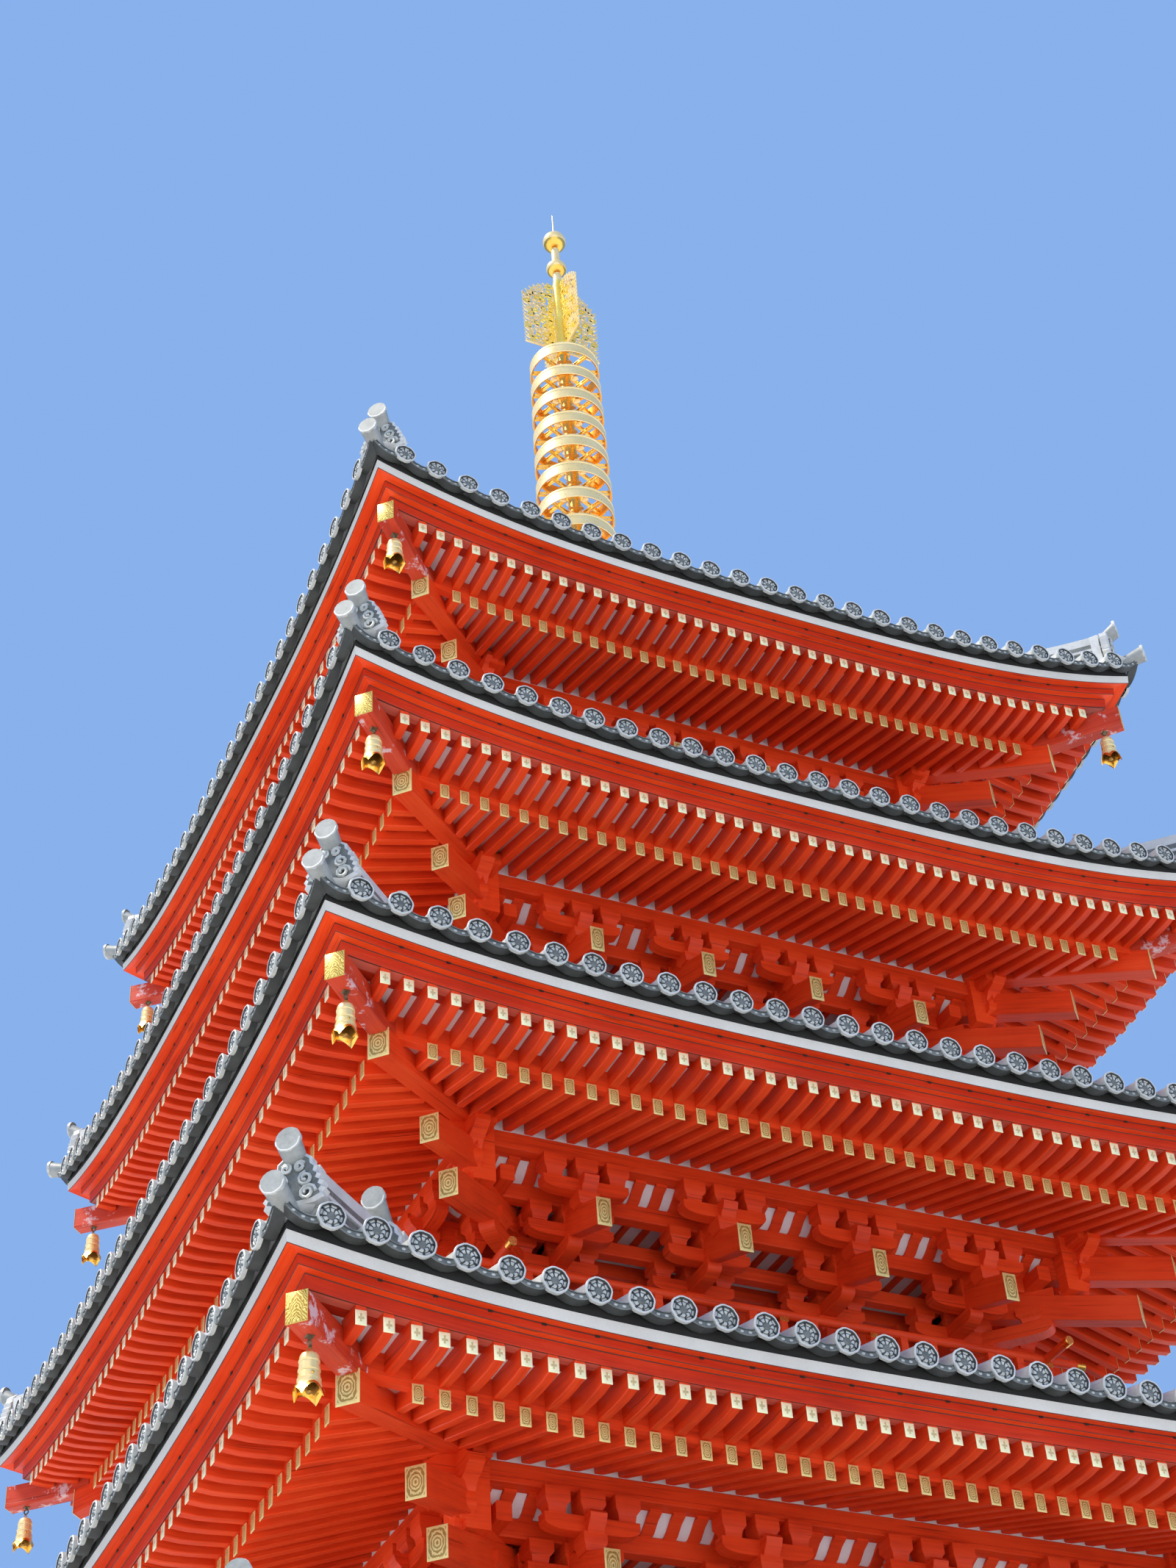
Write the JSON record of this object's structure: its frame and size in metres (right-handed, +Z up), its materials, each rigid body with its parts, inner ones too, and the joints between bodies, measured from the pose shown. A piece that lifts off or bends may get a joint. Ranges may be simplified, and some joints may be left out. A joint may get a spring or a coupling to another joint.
{
  "type": "five-storey pagoda",
  "caption": "Vermilion timber pagoda with bracketed eaves, round-tile roofs, wind bells and a gilt ringed spire on a stone podium.",
  "frame": {"origin": "on the ground under the spire, at the centre of the podium's underside", "axes": "+Z up along the spire, -Y towards the front stairs seen at the left of the picture's view, +X to their right"},
  "size_m": [10.0006, 10.0006, 26.19],
  "materials": {
    "vermilion_timber": "painted, satin, weathered",
    "plaster": "matte lime plaster",
    "roof_tile": "smoked clay, silvery satin",
    "stone": "dressed granite, matte",
    "deck_boards": "painted boards",
    "door_boards": "painted boards with metal fittings",
    "gilt": "gilded, polished"
  },
  "bodies": {
    "tower": {"podium": "stone", "steps_front": "stone", "steps_back": "stone", "steps_left": "stone", "steps_right": "stone", "frame_1": "vermilion_timber", "frame_2": "vermilion_timber", "frame_3": "vermilion_timber", "frame_4": "vermilion_timber", "frame_5": "vermilion_timber", "walls_1": "plaster", "walls_2": "plaster", "walls_3": "plaster", "walls_4": "plaster", "walls_5": "plaster", "ground_doors_front": "door_boards", "ground_doors_back": "door_boards", "ground_doors_left": "door_boards", "ground_doors_right": "door_boards", "balcony_2": "deck_boards", "balcony_3": "deck_boards", "balcony_4": "deck_boards", "balcony_5": "deck_boards", "balustrade_2": "vermilion_timber", "balustrade_3": "vermilion_timber", "balustrade_4": "vermilion_timber", "balustrade_5": "vermilion_timber", "brackets_1": "vermilion_timber", "brackets_2": "vermilion_timber", "brackets_3": "vermilion_timber", "brackets_4": "vermilion_timber", "brackets_5": "vermilion_timber", "eaves_1": "vermilion_timber", "eaves_2": "vermilion_timber", "eaves_3": "vermilion_timber", "eaves_4": "vermilion_timber", "eaves_5": "vermilion_timber", "roof_1": "roof_tile", "roof_2": "roof_tile", "roof_3": "roof_tile", "roof_4": "roof_tile", "roof_5": "roof_tile", "spire_box": "gilt", "spire_bowl": "gilt", "spire_mast": "gilt", "spire_rings": "gilt", "spire_flame": "gilt", "spire_jewels": "gilt"},
    "bell_4_front_left": {"bell_4_front_left": "gilt"},
    "bell_4_front_right": {"bell_4_front_right": "gilt"},
    "bell_4_back_right": {"bell_4_back_right": "gilt"},
    "bell_4_back_left": {"bell_4_back_left": "gilt"},
    "bell_5_front_left": {"bell_5_front_left": "gilt"},
    "bell_5_front_right": {"bell_5_front_right": "gilt"},
    "bell_5_back_right": {"bell_5_back_right": "gilt"},
    "bell_5_back_left": {"bell_5_back_left": "gilt"}
  },
  "joints": [
    {"name": "bell_4_front_left_swing", "type": "hinge", "parent": "tower", "child": "bell_4_front_left", "pos_m": [-3.639, -3.639, 13.736], "axis": [0.7071, -0.7071, 0], "range_deg": [-20, 20]},
    {"name": "bell_4_front_right_swing", "type": "hinge", "parent": "tower", "child": "bell_4_front_right", "pos_m": [3.639, -3.639, 13.736], "axis": [0.7071, 0.7071, 0], "range_deg": [-20, 20]},
    {"name": "bell_4_back_right_swing", "type": "hinge", "parent": "tower", "child": "bell_4_back_right", "pos_m": [3.639, 3.639, 13.736], "axis": [-0.7071, 0.7071, 0], "range_deg": [-20, 20]},
    {"name": "bell_4_back_left_swing", "type": "hinge", "parent": "tower", "child": "bell_4_back_left", "pos_m": [-3.639, 3.639, 13.736], "axis": [-0.7071, -0.7071, 0], "range_deg": [-20, 20]},
    {"name": "bell_5_front_left_swing", "type": "hinge", "parent": "tower", "child": "bell_5_front_left", "pos_m": [-3.35, -3.35, 16.15], "axis": [0.7071, -0.7071, 0], "range_deg": [-20, 20]},
    {"name": "bell_5_front_right_swing", "type": "hinge", "parent": "tower", "child": "bell_5_front_right", "pos_m": [3.35, -3.35, 16.15], "axis": [0.7071, 0.7071, 0], "range_deg": [-20, 20]},
    {"name": "bell_5_back_right_swing", "type": "hinge", "parent": "tower", "child": "bell_5_back_right", "pos_m": [3.35, 3.35, 16.15], "axis": [-0.7071, 0.7071, 0], "range_deg": [-20, 20]},
    {"name": "bell_5_back_left_swing", "type": "hinge", "parent": "tower", "child": "bell_5_back_left", "pos_m": [-3.35, 3.35, 16.15], "axis": [-0.7071, -0.7071, 0], "range_deg": [-20, 20]}
  ]
}
